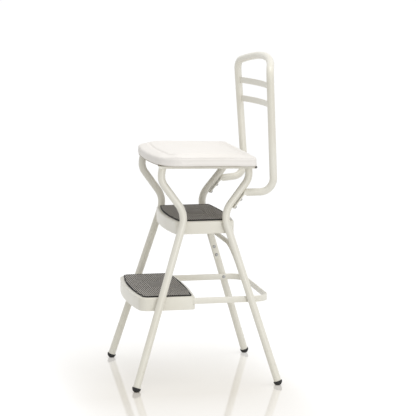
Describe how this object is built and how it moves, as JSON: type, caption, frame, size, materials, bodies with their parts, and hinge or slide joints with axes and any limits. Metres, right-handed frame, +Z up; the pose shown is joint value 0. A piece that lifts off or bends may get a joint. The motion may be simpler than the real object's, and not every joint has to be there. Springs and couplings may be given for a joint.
{
  "type": "step stool chair",
  "caption": "Tall kitchen step stool with splayed bent-tube legs, two rubber-topped steps, a padded seat that flips up on rear hinge pins, and a tube back with slats.",
  "frame": {"origin": "on the floor, under the middle of the object's bounding box", "axes": "+Z up, -Y the way the sitter faces (the steps' side), +X the sitter's left"},
  "size_m": [0.4416, 0.3952, 0.8395],
  "materials": {
    "frame_paint": "semi-gloss cream enamel on steel",
    "seat_vinyl": "smooth satin vinyl",
    "mat_rubber": "ribbed matt rubber",
    "foot_rubber": "satin moulded rubber",
    "zinc": "zinc-plated steel",
    "pin_steel": "dark plated steel",
    "seat_plywood": "raw plywood"
  },
  "bodies": {
    "frame": {"front_leg_left": "frame_paint", "front_leg_right": "frame_paint", "rear_leg_left": "frame_paint", "rear_leg_right": "frame_paint", "seat_rail_left": "frame_paint", "seat_rail_right": "frame_paint", "seat_cross_rail": "frame_paint", "back_frame": "frame_paint", "back_slat_upper": "frame_paint", "back_slat_lower": "frame_paint", "upper_step_pan": "frame_paint", "lower_step_pan": "frame_paint", "step_rail_loop": "frame_paint", "step_brace": "frame_paint", "front_foot_cap_left": "foot_rubber", "front_foot_cap_right": "foot_rubber", "rear_foot_cap_left": "foot_rubber", "rear_foot_cap_right": "foot_rubber", "upper_step_mat": "mat_rubber", "lower_step_mat": "mat_rubber", "upper_step_front_screw_left": "zinc", "upper_step_front_screw_right": "zinc", "upper_step_rear_screw_left": "zinc", "upper_step_rear_screw_right": "zinc", "lower_step_front_screw_left": "zinc", "lower_step_front_screw_right": "zinc", "rail_loop_screw_left": "zinc", "rail_loop_screw_right": "zinc", "brace_screw_lower_left": "zinc", "brace_screw_lower_right": "zinc", "brace_screw_upper_left": "zinc", "brace_screw_upper_right": "zinc", "back_bolt_lower_left": "zinc", "back_bolt_lower_right": "zinc", "back_bolt_upper_left": "zinc", "back_bolt_upper_right": "zinc", "upper_step_front_spacer_left": "zinc", "upper_step_front_spacer_right": "zinc", "upper_step_rear_spacer_left": "zinc", "upper_step_rear_spacer_right": "zinc", "lower_step_front_spacer_left": "zinc", "lower_step_front_spacer_right": "zinc", "seat_hinge_pin_left": "pin_steel", "seat_hinge_pin_right": "pin_steel"},
    "seat": {"seat_cushion": "seat_vinyl", "seat_board": "seat_plywood", "seat_hinge_left": "zinc", "seat_hinge_right": "zinc", "seat_hinge_screw_1_left": "zinc", "seat_hinge_screw_1_right": "zinc", "seat_hinge_screw_2_left": "zinc", "seat_hinge_screw_2_right": "zinc", "seat_pad_left": "foot_rubber", "seat_pad_right": "foot_rubber"}
  },
  "joints": [
    {"name": "seat_flip", "type": "hinge", "parent": "frame", "child": "seat", "pos_m": [0, 0.1316, 0.5585], "axis": [-1, 0, 0], "range_deg": [0, 83.5]}
  ]
}
